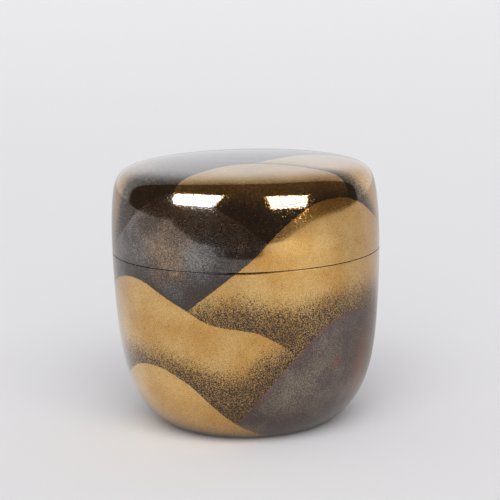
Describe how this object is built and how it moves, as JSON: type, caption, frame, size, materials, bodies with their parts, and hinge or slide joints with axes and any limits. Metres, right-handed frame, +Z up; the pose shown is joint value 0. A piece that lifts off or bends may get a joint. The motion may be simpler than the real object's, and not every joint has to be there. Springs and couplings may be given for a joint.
{
  "type": "lacquer tea caddy",
  "caption": "Jujube-shaped turned tea caddy: a deep hollow bowl with an inner collar, and a domed lift-off lid that drops over the collar.",
  "frame": {"origin": "centre of the foot ring, at the height of the surface that the caddy stands on", "axes": "+Z up along the turning axis, -Y towards the side of the sprinkled design that the picture shows"},
  "size_m": [0.066, 0.066, 0.0657],
  "materials": {
    "gold_sprinkled_lacquer": "high-gloss clear lacquer polished flush over black lacquer sprinkled with gold powder, on turned wood"
  },
  "bodies": {
    "root": {"bowl": "gold_sprinkled_lacquer", "lid": "gold_sprinkled_lacquer"}
  },
  "joints": []
}
